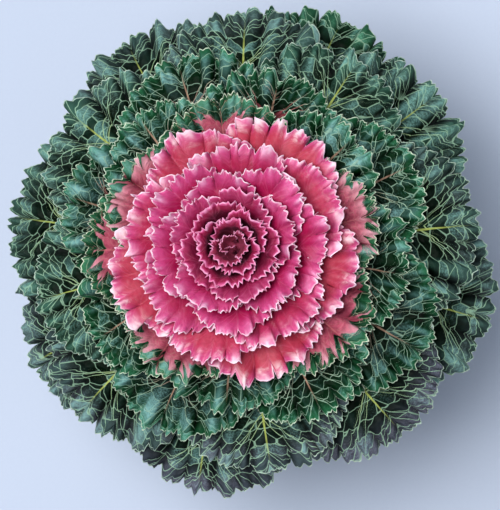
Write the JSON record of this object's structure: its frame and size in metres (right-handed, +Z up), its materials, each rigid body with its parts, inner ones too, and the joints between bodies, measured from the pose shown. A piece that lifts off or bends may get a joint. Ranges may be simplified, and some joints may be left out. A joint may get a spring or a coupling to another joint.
{
  "type": "ornamental kale plant",
  "caption": "Potted ornamental kale: a flat rosette of ruffled, toothed leaves, deep green outside and rose-pink inside, on a short stem in a plain nursery pot of soil.",
  "frame": {"origin": "centre of the pot's flat underside, which stands on the surface", "axes": "+Z up along the pot's and the stem's axis; +Y is away from a viewer who looks along +Y, and +X is to that viewer's right"},
  "size_m": [0.3487, 0.3504, 0.2477],
  "materials": {
    "pot": "matte terracotta-coloured plastic",
    "soil": "dark crumbly peat with a few pale grains",
    "stem": "pale green and corky, with leaf scars",
    "outer_leaf": "dark blue-green leaf with pale veins and a waxy sheen",
    "green_leaf": "blue-green ruffled leaf with a thin cream edge",
    "blushed_leaf": "green leaf flushed with rose along the veins",
    "rose_leaf": "rose-pink ruffled leaf, paler at its fringe",
    "heart": "deep wine-red young leaves with pink edges"
  },
  "bodies": {
    "root": {"pot": "pot", "soil": "soil", "stem": "stem", "outer_leaf_01": "outer_leaf", "outer_leaf_02": "outer_leaf", "outer_leaf_03": "outer_leaf", "outer_leaf_04": "outer_leaf", "outer_leaf_05": "outer_leaf", "outer_leaf_06": "outer_leaf", "outer_leaf_07": "outer_leaf", "outer_leaf_08": "outer_leaf", "outer_leaf_09": "outer_leaf", "outer_leaf_10": "outer_leaf", "outer_leaf_11": "outer_leaf", "outer_leaf_12": "outer_leaf", "outer_leaf_13": "outer_leaf", "outer_leaf_14": "outer_leaf", "outer_leaf_15": "outer_leaf", "green_leaf_01": "green_leaf", "green_leaf_02": "green_leaf", "green_leaf_03": "green_leaf", "green_leaf_04": "green_leaf", "green_leaf_05": "green_leaf", "green_leaf_06": "green_leaf", "green_leaf_07": "green_leaf", "green_leaf_08": "green_leaf", "green_leaf_09": "green_leaf", "green_leaf_10": "green_leaf", "green_leaf_11": "green_leaf", "green_leaf_12": "green_leaf", "blushed_leaf_01": "blushed_leaf", "blushed_leaf_02": "blushed_leaf", "blushed_leaf_03": "blushed_leaf", "blushed_leaf_04": "blushed_leaf", "blushed_leaf_05": "blushed_leaf", "blushed_leaf_06": "blushed_leaf", "rose_leaf_01": "rose_leaf", "rose_leaf_02": "rose_leaf", "rose_leaf_03": "rose_leaf", "rose_leaf_04": "rose_leaf", "rose_leaf_05": "rose_leaf", "rose_leaf_06": "rose_leaf", "rose_leaf_07": "rose_leaf", "rose_leaf_08": "rose_leaf", "rose_leaf_09": "rose_leaf", "rose_leaf_10": "rose_leaf", "rose_leaf_11": "rose_leaf", "rose_leaf_12": "rose_leaf", "rose_leaf_13": "rose_leaf", "rose_leaf_14": "rose_leaf", "rose_leaf_15": "rose_leaf", "rose_leaf_16": "rose_leaf", "rose_leaf_17": "rose_leaf", "rose_leaf_18": "rose_leaf", "rose_leaf_19": "rose_leaf", "rose_leaf_20": "rose_leaf", "rose_leaf_21": "rose_leaf", "heart": "heart"}
  },
  "joints": []
}
